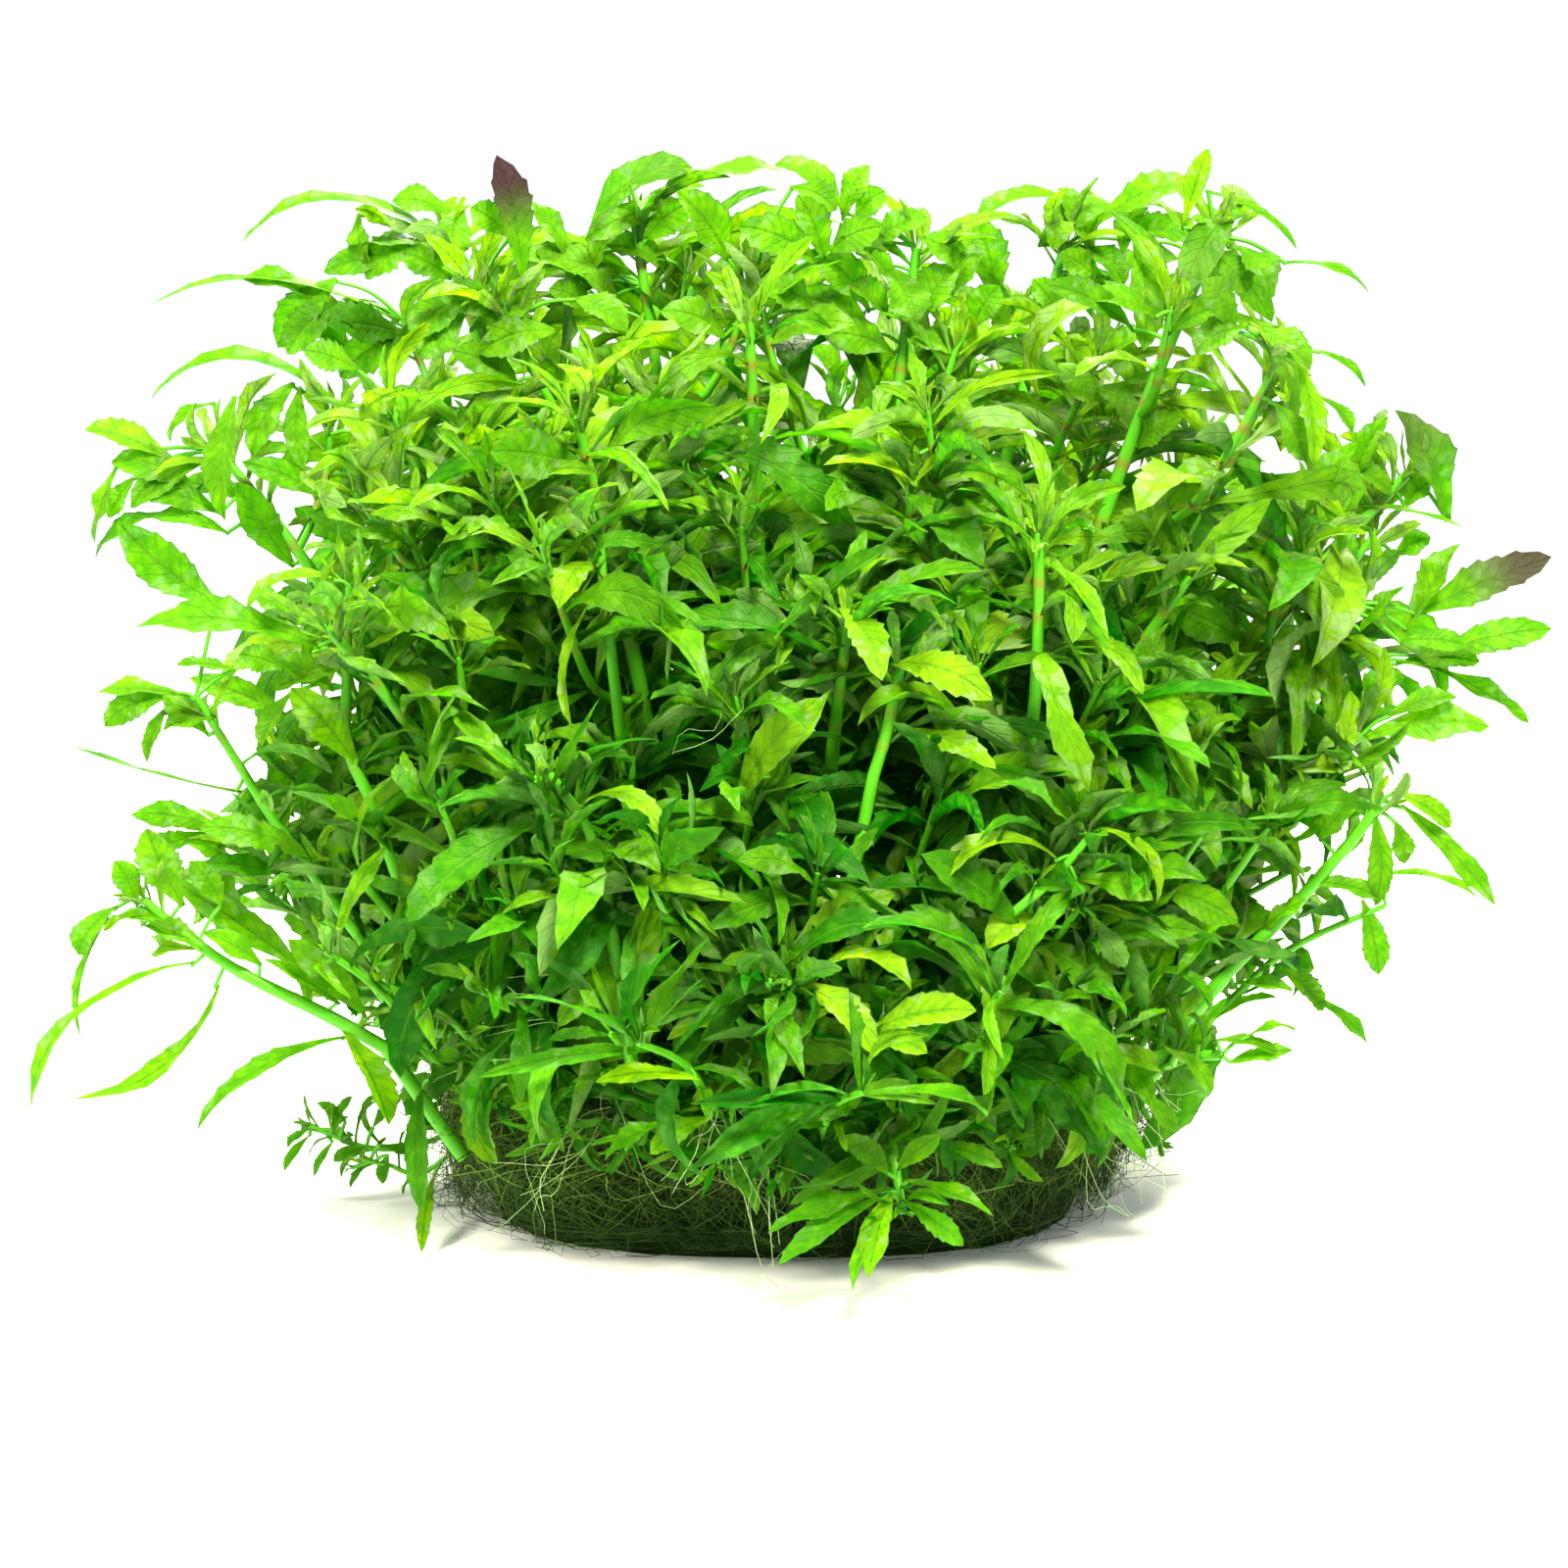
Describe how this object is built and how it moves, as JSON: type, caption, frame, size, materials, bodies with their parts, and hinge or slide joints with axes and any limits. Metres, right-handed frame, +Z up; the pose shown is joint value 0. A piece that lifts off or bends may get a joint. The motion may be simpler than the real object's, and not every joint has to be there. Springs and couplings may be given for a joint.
{
  "type": "pogostemon water plant",
  "caption": "Bushy water plant: upright and leaning stems with whorls of toothed lance-shaped leaves, standing in a flat mat of matted fine roots.",
  "frame": {"origin": "middle of the root mat's flat underside, on the surface that the plant rests on", "axes": "+Z up along the stems; -Y towards the side that the picture shows; +X to the right as seen from there"},
  "size_m": [0.464, 0.3321, 0.3256],
  "materials": {
    "leaf": "thin, soft and translucent, with a damp sheen",
    "stem": "smooth, waxy and slightly translucent, red-brown at the nodes",
    "root": "matt tangle of fine pale threads"
  },
  "bodies": {
    "root": {"root_mat": "root", "stem_01": "stem", "stem_02": "stem", "stem_03": "stem", "stem_04": "stem", "stem_05": "stem", "stem_06": "stem", "stem_07": "stem", "stem_08": "stem", "stem_09": "stem", "stem_10": "stem", "stem_11": "stem", "stem_12": "stem", "stem_13": "stem", "stem_14": "stem", "stem_15": "stem", "stem_16": "stem", "stem_17": "stem", "stem_18": "stem", "stem_19": "stem", "stem_20": "stem", "stem_21": "stem", "stem_22": "stem", "stem_23": "stem", "stem_24": "stem", "stem_25": "stem", "stem_26": "stem", "stem_27": "stem", "stem_28": "stem", "stem_29": "stem", "leaves_01": "leaf", "leaves_02": "leaf", "leaves_03": "leaf", "leaves_04": "leaf", "leaves_05": "leaf", "leaves_06": "leaf", "leaves_07": "leaf", "leaves_08": "leaf", "leaves_09": "leaf", "leaves_10": "leaf", "leaves_11": "leaf", "leaves_12": "leaf", "leaves_13": "leaf", "leaves_14": "leaf", "leaves_15": "leaf", "leaves_16": "leaf", "leaves_17": "leaf", "leaves_18": "leaf", "leaves_19": "leaf", "leaves_20": "leaf", "leaves_21": "leaf", "leaves_22": "leaf", "leaves_23": "leaf", "leaves_24": "leaf", "leaves_25": "leaf", "leaves_26": "leaf", "leaves_27": "leaf", "leaves_28": "leaf", "leaves_29": "leaf"}
  },
  "joints": []
}
